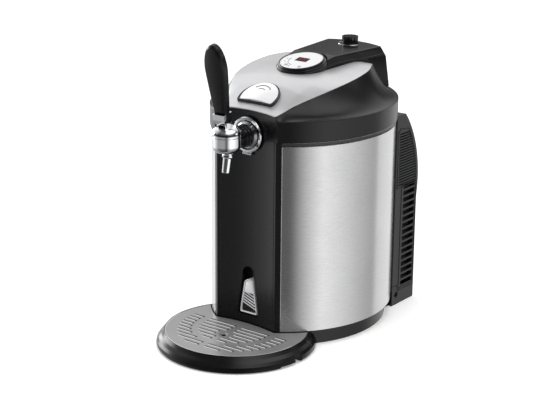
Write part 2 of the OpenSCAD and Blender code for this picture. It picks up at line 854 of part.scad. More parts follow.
module lid_liner() {
    color([0.85, 0.85, 0.84]) difference() {
        translate([0, 0, seam_z]) linear_extrude(2) plan(rim_out - wall, lid_rear - wall, wall);
        both_sides() translate([keeper_x - 4, hook_y - 16, seam_z - 1]) cube([8, 26, 4]);
        translate([0, -70, tap_z]) rotate([90, 0, 0]) cylinder(r = 18, h = 150, center = true);
        for (x = [-60, 60], y = [-45, 45]) translate([x, y, seam_z - 1]) cylinder(r = 1.5, h = 4);
    }
    // Ears that carry the latch bar
    color([0.85, 0.85, 0.84]) both_sides() translate([keeper_x + 6, 0, 0]) rotate([90, 0, 90])
        linear_extrude(3) difference() {
            union() {
                translate([hook_y, bar_z]) circle(5.5);
                translate([hook_y - 5.5, seam_z + 2]) square([11, bar_z - seam_z - 2]);
            }
            translate([hook_y, bar_z]) circle(3.05);
        }
}

seal_t = seam_z - deck_z - 2.3;

module lid_seal() {
    color(black) difference() {
        translate([0, well_back, seam_z - seal_t]) cylinder(r = well_r + 5, h = seal_t);
        translate([0, well_back, seam_z - 5]) cylinder(r = well_r, h = 6);
        translate([-12, -130, seam_z - 6]) cube([24, 80, 8]);
    }
}

module lid_screws() {
    color(steel) for (x = [-60, 60], y = [-45, 45])
        translate([x, y, seam_z]) mirror([0, 0, 1]) screw_head(3, 1.2);
}

// ---------------------------------------------------------------- ridge with display and knob

ridge_front = -25;
ridge_rear_top = 133;
ridge_rear_low = 137;
ridge_bulge = 10;
ridge_top = 418.5;
ridge_low_front = 397.5;
ridge_low_rear = 403.6;

function mix(a, b, t) = a + (b - a) * t;
function ridge_wt(t) = mix(33, 50, t);
function ridge_wb(t) = mix(37, 58, t);
function ridge_zt(t) = mix(408.6, ridge_top, min(1, 3.3 * t));

// Upper row of the ridge at station t, left to right, with its rear wall leaning back
function ridge_row(y) =
    let (t = ridge_t(y), wt = ridge_wt(t), wb = ridge_wb(t), zt = ridge_zt(t),
         zb = max(mix(ridge_low_front, ridge_low_rear, t), surface_height(wb, y) + 0.8),
         yt = mix(ridge_front, ridge_rear_top, t), yb = mix(ridge_front, ridge_rear_low, t))
    concat([[-wb, yb, zb]], [for (j = [0 : 8]) let (x = wt * (j / 4 - 1))
        [x, yt + ridge_bulge * t * (1 - pow(x / wt, 2)), zt + 0.8 * (1 - pow(x / wt, 2))]], [[wb, yb, zb]]);
function ridge_under(p, y) = [p[0], bent_y(p[0], y), min(surface_height(p[0], y) + 0.4, p[2] - 0.4)];
ridge_lines = [for (y = row_y) if (y > ridge_front) y];
function ridge_t(y) = (y - ridge_front) / (lid_rear - ridge_front);
function surface_height(x, y) =
    let (e = along(y, 1), w = lens_half(y, rim_out))
    abs(x) < e ? plate_height(x, y) : wing_height(min(1, (abs(x) - e) / (w - e)), y);

module ridge_housing() {
    top = [for (y = ridge_lines) ridge_row(y)];
    low = [for (i = [0 : len(top) - 1]) [for (p = top[i]) ridge_under(p, ridge_lines[i])]];
    color(black) difference() {
        grid_solid(top, low);
        on_face(-20) cylinder(r = bezel_r + 0.05, h = 60);
        // Pocket of the pressure regulator and the hole for the knob's shaft
        translate([0, knob_y, 350]) cylinder(r = regulator_r + 0.2, h = regulator_top - 350);
        translate([0, knob_y, 350]) cylinder(r = 6.2, h = regulator_top + 5.4 - 350);
        translate([0, knob_y, regulator_top]) cylinder(r = 4, h = 30);
    }
}

face_centre = [0, -11, 413];
bezel_r = 40;

// Places its children on the tilted display face, with z up out of the face
module on_face(z = 0) {
    translate(face_centre) rotate([face_tilt, 0, 0]) translate([0, 0, z]) children();
}

// The lid's surface under the display, as a solid to cut with
module under_display() {
    top = [for (y = row_y) if (y > -75 && y < 60) plate_row(y, -0.2, 0.02)];
    grid_solid(top, [for (r = top) [for (p = r) [p[0], p[1], 360]]]);
}

module display_bezel() {
    color(black) difference() {
        on_face() rotate_extrude() polygon([[0, -26], [bezel_r, -26], [bezel_r, -7.4], [bezel_r - 1, -6.4],
            [bezel_r - 2.6, -6], [bezel_r - 2.6, -2.4], [bezel_r - 3.4, -0.6], [bezel_r - 5, 0.4],
            [face_r + 0.05, 0.4], [face_r + 0.05, -1.6], [30, -1.6], [30, -5], [0, -5]]);
        under_display();
    }
}

module display_face() {
    color(silver) difference() {
        on_face(-1.6) cylinder(r = face_r, h = 1.6);
        on_face(-3) translate([-10, -3, 0]) cube([20, 12, 6]);
        for (p = [cool_at, unit_at]) on_face(-3) translate([p[0], p[1], 0])
            cylinder(r = button_r + gap, h = 6);
    }
}

cool_at = [-14, -21];
unit_at = [11, -22];
button_r = 2.6;

module display_window() {
    color([0.35, 0.03, 0.04]) on_face(-3.4) translate([-9.9, -2.9, 0]) cube([19.8, 11.8, 3.6]);
}

module face_button(p) {
    color(silver) on_face(-2.5) translate([p[0], p[1], 0]) cylinder(r = button_r, h = 3.4);
}

module cool_button() { face_button(cool_at); }

module unit_button() { face_button(unit_at); }

module display_board() {
    color([0.1, 0.35, 0.2]) on_face(-5) cylinder(r = 29.8, h = 1.6);
}

release_y = -128;
release_tilt = 27.5;
release_depth = 41;

// Half-moon: flat edge to the front, round edge to the rear
module half_moon(grow = 0) {
    r = 31;
    intersection() {
        translate([0, release_depth - r]) circle(r + grow);
        translate([-60, -grow]) square([120, 100]);
    }
}

// Places its children on the slope of the lid in front of the display
module on_slope(z = 0) {
    translate([0, release_y, 371]) rotate([release_tilt, 0, 0]) translate([0, 0, z]) children();
}

module button_frame() {
    color(black) on_slope(-5) difference() {
        linear_extrude(5.6) half_moon(2.4);
        translate([0, 0, -1]) linear_extrude(10) half_moon(gap);
    }
}

// Hole for the button and its frame, cut through the plate and the cover
module button_hole() {
    on_slope(-12) linear_extrude(24) half_moon(2.45);
}

dome_r = 100;

module release_button() {
    color(chrome) {
        intersection() {
            on_slope(-1.5) linear_extrude(12) half_moon();
            on_slope(5 - dome_r) translate([0, 18, 0]) sphere(dome_r, $fn = 160);
        }
        on_slope(-16.4) translate([0, 13, 0]) cylinder(r = 4, h = 15.4);
    }
}

// Cross bar with a hook at each side and an arm under the button's stem
module latch_hooks() {
    color(steel) {
        both_sides() {
            translate([keeper_x - 2.5, hook_y - 1.5, deck_z + 1.2]) cube([5, 3, bar_z - deck_z - 1.2]);
            translate([keeper_x - 2.5, hook_y - 1.5, deck_z + 1.2]) cube([5, 3 + nose, 2]);
        }
        translate([0, hook_y, bar_z]) x_rod(3, 2 * keeper_x + 18);
        translate([-5, hook_y, bar_z]) rotate([58, 0, 0]) translate([0, 0, -1.5]) cube([10, 19, 3]);
    }
}

knob_y = 121;
knob_ribs = 14;
regulator_top = 403;
regulator_r = 12;

module pressure_regulator() {
    color("goldenrod") translate([0, knob_y, 0]) {
        translate([0, 0, regulator_top - 11.5]) cylinder(r = regulator_r, h = 11.5);
        translate([0, 0, regulator_top]) cylinder(r = 6, h = 5);
    }
}

module pressure_knob() {
    z = ridge_top + 1.1;
    color(black) translate([0, knob_y, 0]) {
        difference() {
            translate([0, 0, z]) cylinder(r = knob_r, h = 11.5);
            for (i = [0 : knob_ribs - 1]) rotate([0, 0, i * 360 / knob_ribs])
                translate([knob_r + 0.6, 0, z + 2.5]) cylinder(r = 1.6, h = 20);
        }
        translate([0, 0, regulator_top + 5.2]) cylinder(r = 3.95, h = z - regulator_top - 5.2 + eps);
    }
}

// ---------------------------------------------------------------- drip tray

tray_plate_t = 2.2;

// Disc of radius r that stops short of the body's plan grown by that much
module tray_plan(r, grow) {
    difference() {
        translate([0, -tray_y]) circle(r, $fn = 180);
        plan(grow, rear_y0, -grow);
        translate([-200, -100]) square([400, 200]);
    }
}

module tray_pan() {
    color(black) difference() {
        intersection() {
            translate([0, -tray_y, 0]) rotate_extrude() polygon([[0, 0.8], [tray_r - 2, 0.8],
                [tray_r, 2.5], [tray_r + 1, 6], [tray_r, 10], [tray_r - 3, 14.5], [tray_r - 7.5, 19],
                [plate_r + 1, tray_top + 0.4], [plate_r + 0.4, tray_top + 0.4], [0, tray_top + 0.4]]);
            linear_extrude(40) tray_plan(tray_r + 3, 0.6 - foot_in);
        }
        // Basin under the plate, with a ledge that carries it
        translate([0, 0, 4]) linear_extrude(40) tray_plan(plate_r - 4, 5);
        translate([0, 0, tray_top - tray_plate_t]) linear_extrude(10) tray_plan(plate_r + 0.4, 0.6);
        // Stepped finger notches beside the rim
        both_sides() {
            translate([plate_r - 1, -tray_y - 40, -1]) cube([30, 43, 5]);
            translate([plate_r + 1, -tray_y - 13, -1]) cube([30, 16, 11]);
        }
    }
}

slot_w = 4;
slot_rows = 10;
slot_pitch = 10;
slot_zones = [58, 68, 90];
drain_at = -31;

// Half the length of the chord that a circle of radius r cuts at distance d from its middle
function chord(r, d) = d < r ? sqrt(r * r - d * d) : 0;

// The right-hand slots of the row at d behind the plate's middle, as pairs of ends: an inner disc and an
// outer ring of slots with a plain band between them
function slot_spans(d) =
    let (inner = chord(slot_zones[0], abs(d)), from = max(4.5, chord(slot_zones[1], abs(d))),
         to = chord(slot_zones[2], abs(d)), hole = abs(d - drain_at) < 9 ? 13 : 4.5)
    concat(inner > 14 ? [[hole, inner]] : [], to - from > 12 ? [[from, to]] : []);

module tray_slot(x0, x1) {
    translate([x0 + slot_w / 2, -slot_w / 2]) square([x1 - x0 - slot_w, slot_w]);
    for (x = [x0 + slot_w / 2, x1 - slot_w / 2]) translate([x, 0]) circle(slot_w / 2, $fn = 24);
}

module tray_plate() {
    color(silver) difference() {
        translate([0, 0, tray_top - tray_plate_t]) linear_extrude(tray_plate_t) tray_plan(plate_r, 2.2);
        translate([0, -tray_y, tray_top - 5]) linear_extrude(10) both_sides()
            for (i = [0 : slot_rows - 1]) {
                d = 7 - i * slot_pitch;
                translate([0, d]) for (span = slot_spans(d)) tray_slot(span[0], span[1]);
            }
        translate([0, -tray_y + drain_at, tray_top - 5]) cylinder(r = 4, h = 10);
        translate([0, -tray_y + drain_at, tray_top - 1]) cylinder(r1 = 4, r2 = 7.5, h = 1.1);
    }
}

module tray_pads() {
    color(black) for (a = [200, 250, 290, 340])
        translate([95 * cos(a), -tray_y + 95 * sin(a), 0]) cylinder(r = 7, h = 0.8);
}

base_foot();
rubber_feet();
steel_side_left();
steel_side_right();
body_shell();
front_panel();
corner_trims();
seam_trim();
insulation();
cooling_well();
cold_plate();
cooler_module();
heat_sink();
fan_frame();
fan_rotor();
rear_housing();
power_inlet();
control_board();
hinge_pin();
latch_keepers();
slider_cup();
tray_slider();
tap_shank();
shank_nut();
lock_ring();
rosette();
neck_rings();
tap_body();
tap_spout();
valve_stem();
lever_pin();
tap_lever();
tap_handle();
beer_hose();
keg_coupler();
housing_screws();
lid_rim();
lid_cover();
lid_plate();
lid_liner();
lid_seal();
lid_screws();
ridge_housing();
display_bezel();
display_face();
display_window();
cool_button();
unit_button();
display_board();
button_frame();
release_button();
latch_hooks();
pressure_regulator();
pressure_knob();
tray_pan();
tray_plate();
tray_pads();
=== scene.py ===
import json
import math

import bmesh
import bpy
from mathutils import Matrix, Vector


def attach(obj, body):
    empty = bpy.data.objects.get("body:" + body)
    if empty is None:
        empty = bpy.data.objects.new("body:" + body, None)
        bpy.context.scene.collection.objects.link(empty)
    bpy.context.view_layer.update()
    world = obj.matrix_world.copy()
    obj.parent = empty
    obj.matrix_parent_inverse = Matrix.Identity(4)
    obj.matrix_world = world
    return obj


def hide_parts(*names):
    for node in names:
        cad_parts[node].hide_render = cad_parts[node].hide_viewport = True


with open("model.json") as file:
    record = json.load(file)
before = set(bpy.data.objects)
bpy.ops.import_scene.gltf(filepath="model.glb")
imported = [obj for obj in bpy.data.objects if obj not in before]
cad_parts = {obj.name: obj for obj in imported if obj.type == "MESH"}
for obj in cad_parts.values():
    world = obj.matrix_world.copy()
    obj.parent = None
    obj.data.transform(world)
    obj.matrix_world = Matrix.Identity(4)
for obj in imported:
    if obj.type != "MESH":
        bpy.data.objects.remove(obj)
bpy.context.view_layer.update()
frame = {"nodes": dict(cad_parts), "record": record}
nodes = frame["nodes"]
MM = 0.001
SIDES = (("left", -1), ("right", 1))


def mix(a, b, t):
    return a + (b - a) * t


def between(a, b, t):
    """Point at a share t of the way from a to b."""
    return tuple(mix(p, q, t) for p, q in zip(a, b))


def circle(radius, degrees):
    """Point of a circle about the origin."""
    a = math.radians(degrees)
    return radius * math.cos(a), radius * math.sin(a)


# ------------------------------------------------------------------ materials

def ramp(nt, fac, stops):
    """Colour ramp through stops of (place, grey level or colour)."""
    node = nt.nodes.new("ShaderNodeValToRGB")
    els = node.color_ramp.elements
    while len(els) < len(stops):
        els.new(0.5)
    for el, (pos, val) in zip(els, stops):
        el.position = pos
        el.color = (*val, 1) if isinstance(val, tuple) else (val, val, val, 1)
    nt.links.new(fac, node.inputs["Fac"])
    return node.outputs["Color"]


def noise(nt, scale, detail=3.0, stretch=(1, 1, 1)):
    coord = nt.nodes.new("ShaderNodeTexCoord")
    mapping = nt.nodes.new("ShaderNodeMapping")
    mapping.inputs["Scale"].default_value = stretch
    tex = nt.nodes.new("ShaderNodeTexNoise")
    tex.inputs["Scale"].default_value = scale
    tex.inputs["Detail"].default_value = detail
    nt.links.new(coord.outputs["Object"], mapping.inputs["Vector"])
    nt.links.new(mapping.outputs["Vector"], tex.inputs["Vector"])
    return tex.outputs["Fac"]


def grain(scale, strength, depth, stretch=(1, 1, 1)):
    """Fine relief of a surface, its depth in metres."""
    return scale, stretch, strength, depth


def material(name, base, rough, metal=0.0, spread=0.06, relief=grain(900.0, 0.04, 0.00004),
             mottle=0.06, coat=0.0, edge=0.0004, aniso=0.0, specular=0.5):
    """Principled surface whose colour, roughness and bump all come from noise at the real scale.

    The roughness varies by spread and the colour by mottle; edge is the radius of its edges in metres.
    """
    m = bpy.data.materials.new(name)
    m.use_nodes = True
    nt = m.node_tree
    bsdf = nt.nodes["Principled BSDF"]
    bsdf.inputs["Metallic"].default_value = metal
    bsdf.inputs["IOR"].default_value = 1.5
    bsdf.inputs["Coat Weight"].default_value = coat
    bsdf.inputs["Coat Roughness"].default_value = 0.04
    bsdf.inputs["Anisotropic"].default_value = aniso
    bsdf.inputs["Specular IOR Level"].default_value = specular
    broad = noise(nt, 14.0, 2.0)
    dark = tuple(c * (1 - mottle) for c in base)
    light = tuple(min(1.0, c * (1 + mottle)) for c in base)
    nt.links.new(ramp(nt, broad, [(0.3, dark), (0.7, light)]), bsdf.inputs["Base Color"])
    scale, stretch, strength, depth = relief
    fine = noise(nt, scale, 4.0, stretch)
    smoother, rougher = max(0.0, rough - spread), min(1.0, rough + spread)
    nt.links.new(ramp(nt, fine, [(0.25, smoother), (0.75, rougher)]), bsdf.inputs["Roughness"])
    bump = nt.nodes.new("ShaderNodeBump")
    bump.inputs["Strength"].default_value = strength
    bump.inputs["Distance"].default_value = depth
    nt.links.new(fine, bump.inputs["Height"])
    if edge:
        bevel = nt.nodes.new("ShaderNodeBevel")
        bevel.samples = 4
        bevel.inputs["Radius"].default_value = edge
        nt.links.new(bevel.outputs["Normal"], bump.inputs["Normal"])
    nt.links.new(bump.outputs["Normal"], bsdf.inputs["Normal"])
    return m


def brush_round(m):
    """Turns a metal's brushing so that it runs level round the upright axis."""
    nt = m.node_tree
    bsdf = nt.nodes["Principled BSDF"]
    tangent = nt.nodes.new("ShaderNodeTangent")
    tangent.direction_type = "RADIAL"
    tangent.axis = "Z"
    nt.links.new(tangent.outputs["Tangent"], bsdf.inputs["Tangent"])
    bsdf.inputs["Anisotropic Rotation"].default_value = 0.25


BLACK = (0.003, 0.003, 0.0035)
FINISHES = {
    "black_plastic": dict(base=BLACK, rough=0.29, relief=grain(1500.0, 0.10, 0.00005), specular=0.42),
    "panel_plastic": dict(base=BLACK, rough=0.27, relief=grain(1600.0, 0.08, 0.00005), specular=0.42),
    "rubber": dict(base=(0.014, 0.014, 0.014), rough=0.62, specular=0.35),
    "brushed_steel": dict(base=(0.67, 0.67, 0.675), rough=0.25, metal=1.0, spread=0.05,
                          relief=grain(60.0, 0.045, 0.00004, (1.2, 1.2, 60)), mottle=0.03,
                          edge=0.0003, aniso=0.75),
    "grey_plastic": dict(base=(0.010, 0.010, 0.011), rough=0.38, relief=grain(1300.0, 0.18, 0.00006)),
    "foam": dict(base=(0.85, 0.80, 0.68), rough=0.9, relief=grain(500.0, 0.4, 0.0003), mottle=0.1),
    "aluminium": dict(base=(0.72, 0.73, 0.75), rough=0.32, metal=1.0),
    "black_anodised": dict(base=(0.03, 0.03, 0.032), rough=0.42, metal=0.8, spread=0.05),
    "seam_grey": dict(base=(0.022, 0.022, 0.023), rough=0.3),
    "ridge_plastic": dict(base=(0.005, 0.005, 0.0055), rough=0.27,
                          relief=grain(1600.0, 0.08, 0.00005), specular=0.2, edge=0.0012),
    "digits": dict(base=(0.26, 0.035, 0.045), rough=0.4, specular=0.1),
    "face_silver": dict(base=(0.74, 0.74, 0.75), rough=0.32, metal=0.5, spread=0.05,
                        relief=grain(1400.0, 0.08, 0.00003), mottle=0.02),
    "button_silver": dict(base=(0.86, 0.86, 0.87), rough=0.30, metal=0.35, spread=0.05,
                          relief=grain(1400.0, 0.05, 0.00003), mottle=0.01),
    "ceramic": dict(base=(0.86, 0.86, 0.84), rough=0.5),
    "circuit_board": dict(base=(0.02, 0.16, 0.06), rough=0.4, mottle=0.25),
    "plain_steel": dict(base=(0.58, 0.58, 0.6), rough=0.28, metal=1.0),
    "chrome": dict(base=(0.86, 0.87, 0.89), rough=0.045, metal=1.0, spread=0.02,
                   relief=grain(300.0, 0.02, 0.00002), mottle=0.01, edge=0.0005),
    "handle_plastic": dict(base=BLACK, rough=0.28, relief=grain(1700.0, 0.08, 0.00004), specular=0.4),
    "hose": dict(base=(0.75, 0.8, 0.82), rough=0.2, edge=0.0),
    "silver_plastic": dict(base=(0.63, 0.63, 0.64), rough=0.38, metal=0.7,
                           relief=grain(1400.0, 0.14, 0.00004), mottle=0.03),
    "tray_steel": dict(base=(0.36, 0.36, 0.36), rough=0.36, metal=0.55, spread=0.07,
                       relief=grain(70.0, 0.14, 0.00005, (50, 1.5, 1)), mottle=0.03, edge=0.0009),
    "liner_plastic": dict(base=(0.72, 0.72, 0.70), rough=0.45),
    "gloss_black": dict(base=(0.006, 0.006, 0.007), rough=0.09, spread=0.03,
                        relief=grain(700.0, 0.03, 0.00003), coat=0.15, specular=0.42, edge=0.0006),
    "display_red": dict(base=(0.030, 0.006, 0.008), rough=0.16, spread=0.02, specular=0.04),
    "brass": dict(base=(0.75, 0.55, 0.25), rough=0.25, metal=1.0),
    "tray_plastic": dict(base=(0.004, 0.004, 0.0045), rough=0.22,
                         relief=grain(1300.0, 0.08, 0.00005), specular=0.36),
}
LOOK = {name: material(name, **values) for name, values in FINISHES.items()}
brush_round(LOOK["brushed_steel"])

# CAD nodes whose finish differs from their slot's
OWN_LOOK = {"seam_trim": "seam_grey", "release_button": "button_silver", "display_face": "face_silver"}

for part in frame["record"]["subparts"]:
    mesh = nodes[part["node"]].data
    mesh.materials.clear()
    mesh.materials.append(LOOK[OWN_LOOK.get(part["node"], part["material_slot"])])


# ------------------------------------------------------------------ mesh helpers (mm in, metres out)

def fresh_mesh(name, points, faces):
    """Object of a new mesh whose normals point outward."""
    me = bpy.data.meshes.new(name)
    me.from_pydata([(x * MM, y * MM, z * MM) for x, y, z in points], [], faces)
    bm = bmesh.new()
    bm.from_mesh(me)
    bmesh.ops.recalc_face_normals(bm, faces=bm.faces)
    bm.to_mesh(me)
    bm.free()
    ob = bpy.data.objects.new(name, me)
    bpy.context.collection.objects.link(ob)
    return ob


def mesh_piece(name, points, faces, look, body, *replaced, smooth=35):
    """Piece that rides on a body and may stand for CAD nodes; edges over smooth degrees stay hard."""
    ob = fresh_mesh(name, points, faces)
    ob.data.materials.append(LOOK[look])
    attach(ob, body)
    if replaced:
        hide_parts(*replaced)
    ob["smooth"] = smooth
    return ob


def settle(ob):
    """Applies the modifiers and shades the piece smooth except across its hard edges."""
    deps = bpy.context.evaluated_depsgraph_get()
    me = bpy.data.meshes.new_from_object(ob.evaluated_get(deps))
    ob.modifiers.clear()
    ob.data = me
    limit = math.radians(ob["smooth"])
    bm = bmesh.new()
    bm.from_mesh(me)
    for f in bm.faces:
        f.smooth = True
    for e in bm.edges:
        e.smooth = len(e.link_faces) == 2 and e.calc_face_angle(0) < limit
    bm.to_mesh(me)
    bm.free()
    return ob


def pierce(ob, form, edge=0.0, edge_angle=30):
    """Cuts a form of (points, faces) out of a piece, rounds its edges over edge_angle, and settles it."""
    tool = fresh_mesh("cutter", *form)
    hole = ob.modifiers.new("cut", "BOOLEAN")
    hole.operation = "DIFFERENCE"
    hole.solver = "EXACT"
    hole.object = tool
    if edge:
        rounding = ob.modifiers.new("edge", "BEVEL")
        rounding.width = edge * MM
        rounding.segments = 3
        rounding.limit_method = "ANGLE"
        rounding.angle_limit = math.radians(edge_angle)
    settle(ob)
    bpy.data.objects.remove(tool)


def slab(top, low):
    """Closed skin between an upper and a lower grid."""
    m, n = len(top), len(top[0])
    s = m * n
    points = [p for r in top for p in r] + [p for r in low for p in r]
    faces = []
    for i in range(m - 1):
        for j in range(n - 1):
            a, b, c, d = i * n + j, (i + 1) * n + j, (i + 1) * n + j + 1, i * n + j + 1
            faces += [(a, b, c, d), (d + s, c + s, b + s, a + s)]
    for j in range(n - 1):
        e = (m - 1) * n + j
        faces += [(j, j + 1, j + 1 + s, j + s), (e + 1, e, e + s, e + 1 + s)]
    for i in range(m - 1):
        a, b = i * n, (i + 1) * n
        faces += [(b, a, a + s, b + s), (a + n - 1, b + n - 1, b + n - 1 + s, a + n - 1 + s)]
    return points, faces


def spun(profile, steps=96):
    """Points and faces of a profile of (radius, height) turned about Z."""
    points, faces = [], []
    for k in range(steps):
        a = 2 * math.pi * k / steps
        points += [(r * math.cos(a), r * math.sin(a), z) for r, z in profile]
    n = len(profile)
    for k in range(steps):
        q = (k + 1) % steps
        for i in range(n - 1):
            faces.append((k * n + i, q * n + i, q * n + i + 1, k * n + i + 1))
    return points, faces


def placed(points, centre, tilt):
    """Tilts points about X and moves them to a centre."""
    c, s = math.cos(math.radians(tilt)), math.sin(math.radians(tilt))
    return [(x + centre[0], y * c - z * s + centre[1], y * s + z * c + centre[2]) for x, y, z in points]


def tube_form(path, r, steps, closed):
    """Points and faces of a round tube along a path."""
    points, faces = [], []
    n = len(path)
    for i, p in enumerate(path):
        before = path[(i - 1) % n if closed else max(i - 1, 0)]
        after = path[(i + 1) % n if closed else min(i + 1, n - 1)]
        t = (Vector(after) - Vector(before)).normalized()
        u = t.cross(Vector((0, 0, 1) if abs(t.z) < 0.9 else (1, 0, 0))).normalized()
        v = t.cross(u)
        for k in range(steps):
            w = 2 * math.pi * k / steps
            points.append(tuple(Vector(p) + r * (math.cos(w) * u + math.sin(w) * v)))
    for i in range(n if closed else n - 1):
        j = (i + 1) % n
        for k in range(steps):
            q = (k + 1) % steps
            faces.append((i * steps + k, i * steps + q, j * steps + q, j * steps + k))
    if not closed:
        faces += [tuple(range(steps)), tuple(range((n - 1) * steps, n * steps))]
    return points, faces


def tube(name, path, r, look, body, steps=8, closed=False):
    return settle(mesh_piece(name, *tube_form(path, r, steps, closed), look, body))


def tubes(name, paths, r, look, body, steps=8):
    """One piece of several round tubes."""
    points, faces = [], []
    for path in paths:
        more, sides = tube_form(path, r, steps, False)
        faces += [tuple(len(points) + k for k in f) for f in sides]
        points += more
    return settle(mesh_piece(name, points, faces, look, body))


def lofted(name, rings, look, body, *replaced, ends=True, smooth=32):
    """Piece through rings of equal count, closed by flat ends or by joining the last ring to the first."""
    n = len(rings[0])
    points = [p for ring in rings for p in ring]
    faces = []
    for i in range(len(rings) - 1 if ends else len(rings)):
        j = (i + 1) % len(rings)
        for k in range(n):
            q = (k + 1) % n
            faces.append((i * n + k, i * n + q, j * n + q, j * n + k))
    if ends:
        faces += [tuple(range(n)), tuple(range((len(rings) - 1) * n, len(rings) * n))]
    return settle(mesh_piece(name, points, faces, look, body, *replaced, smooth=smooth))


# ------------------------------------------------------------------ the lid's form, as in the CAD source

SIDE_R, ARC_C, FRONT_R, FRONT_C = 177, 42, 218, -359
CORNER_Y, CORNER_X, LID_REAR = 148, 55.09, 149
PLATE_REAR, PLATE_REAR_R = 92, 14
RIM_TOP, RIM_LOW, RIM_OUT = 352.6, 351, 2.4
# Along the lid: depth, the silver plate's half width, and its height at its edge and in its middle
STATIONS = [(-148, 54.5, 359.6, 361.5), (-130, 55.5, 362.5, 370), (-112, 62, 369.5, 380),
            (-92, 75, 378, 389.5), (-62, 89, 387.2, 397.5), (-26, 96.5, 394, 401.3),
            (6, 97.2, 398.6, 402.5), (36, 92.6, 402, 404), (66, 79, 403.5, 405), (90, 65, 399, 400),
            (104, 59, 387, 387), (120, 58, 366, 366), (149, 54.5, 353.4, 353.4)]
HALF, EDGE, MIDDLE = 1, 2, 3
BUTTON_AT, BUTTON_TILT, BUTTON_R, BUTTON_DEPTH = (0, -128, 371), 27.5, 31, 41
FACE_AT, FACE_TILT = (0, -11, 413), 12


def along(y, k):
    """Column k of the stations at depth y, on a smooth curve through them."""
    i = 0
    while i < len(STATIONS) - 2 and y >= STATIONS[i + 1][0]:
        i += 1
    last = len(STATIONS) - 1
    t = (y - STATIONS[i][0]) / (STATIONS[i + 1][0] - STATIONS[i][0])
    a, b, c, d = (STATIONS[j][k] for j in (max(i - 1, 0), i, i + 1, min(i + 2, last)))
    square, cube = 2 * a - 5 * b + 4 * c - d, 3 * b - a - 3 * c + d
    return 0.5 * (2 * b + (c - a) * t + square * t * t + cube * t ** 3)


def lens_half(y, grow):
    """Half the body's width at depth y, grown by that much."""
    return math.sqrt((SIDE_R + grow) ** 2 - y * y) - ARC_C


def bent_y(x, y):
    """Depth of a lid point once its rows are bent to the body's hollow front."""
    front = FRONT_C + math.sqrt(FRONT_R ** 2 - min(abs(x), CORNER_X) ** 2)
    t = (y + CORNER_Y) / (CORNER_Y + LID_REAR)
    return front * (1 - t) + LID_REAR * t


def plate_height(x, y):
    crown = along(y, MIDDLE) - along(y, EDGE)
    return along(y, MIDDLE) - crown * min(abs(x) / along(y, HALF), 1) ** 2


def wing_height(v, y):
    """Height of the black wing at a share v of the way from the plate's edge to the rim."""
    return RIM_TOP + (along(y, EDGE) - RIM_TOP) * max(0.0, 1 - v) ** 1.9


def surface_height(x, y):
    """Height of the lid's surface, plate or wing."""
    e, w = along(y, HALF), lens_half(y, RIM_OUT)
    return plate_height(x, y) if abs(x) < e else wing_height(min(1, (abs(x) - e) / (w - e)), y)


def plate_shrink(y):
    """How much the plate's half width shrinks at its rounded rear corners."""
    d = y - (PLATE_REAR - PLATE_REAR_R)
    return PLATE_REAR_R - math.sqrt(max(PLATE_REAR_R ** 2 - d * d, 0)) if d > 0 else 0


def half_moon(grow):
    """Prism of the release button's outline through the lid's front slope, grown by that much."""
    count, reach = 60, 30
    cy = BUTTON_DEPTH - BUTTON_R
    r = BUTTON_R + grow
    start = math.asin((-grow - cy) / r)
    ring = []
    for k in range(count + 1):
        a = start + (math.pi - 2 * start) * k / count
        ring.append((r * math.cos(a), cy + r * math.sin(a)))
    n = len(ring)
    points = [(x, y, z) for z in (-reach, reach) for x, y in ring]
    faces = [tuple(range(n)), tuple(range(n, 2 * n))]
    faces += [(k, (k + 1) % n, n + (k + 1) % n, n + k) for k in range(n)]
    return placed(points, BUTTON_AT, BUTTON_TILT), faces


def lid_cover():
    """Black wings from the silver plate down to the rim, with a sunk seat under the plate."""
    rows, wing_steps, seat_steps = 100, 26, 26
    skin, seat_drop, seat_gap = 2.6, 1.6, 0.3
    rolled, roll_drop = 3, 0.9
    top, low = [], []
    for i in range(rows + 1):
        y = -CORNER_Y + (LID_REAR + CORNER_Y) * i / rows
        e, w = along(y, HALF), lens_half(y, RIM_OUT)
        wing = []
        for j in range(wing_steps + 1):
            v = j / wing_steps
            x = e + (w - e) * v
            # Rolled edge where the wing turns down onto the rim
            roll = roll_drop * max(0.0, (x - w + rolled) / rolled) ** 2.4
            wing.append((x, bent_y(x, y), wing_height(v, y) - roll))
        seat_half = e - plate_shrink(y) - seat_gap if y < PLATE_REAR + 0.5 else 0
        seat = []
        for j in range(1, seat_steps):
            x = e * (2 * j / seat_steps - 1)
            drop = seat_drop if abs(x) < seat_half else 0
            seat.append((x, bent_y(x, y), plate_height(x, y) - drop))
        line = [(-p[0], p[1], p[2]) for p in wing[::-1]] + seat + wing
        top.append(line)
        end = i < 3 or i > rows - 2
        low.append([(p[0], p[1], RIM_LOW if end or abs(p[0]) > w - 4 else max(p[2] - skin, RIM_LOW))
                    for p in line])
    ob = mesh_piece("lid_wings", *slab(top, low), "black_plastic", "lid", "lid_cover", smooth=38)
    pierce(ob, half_moon(2.45))


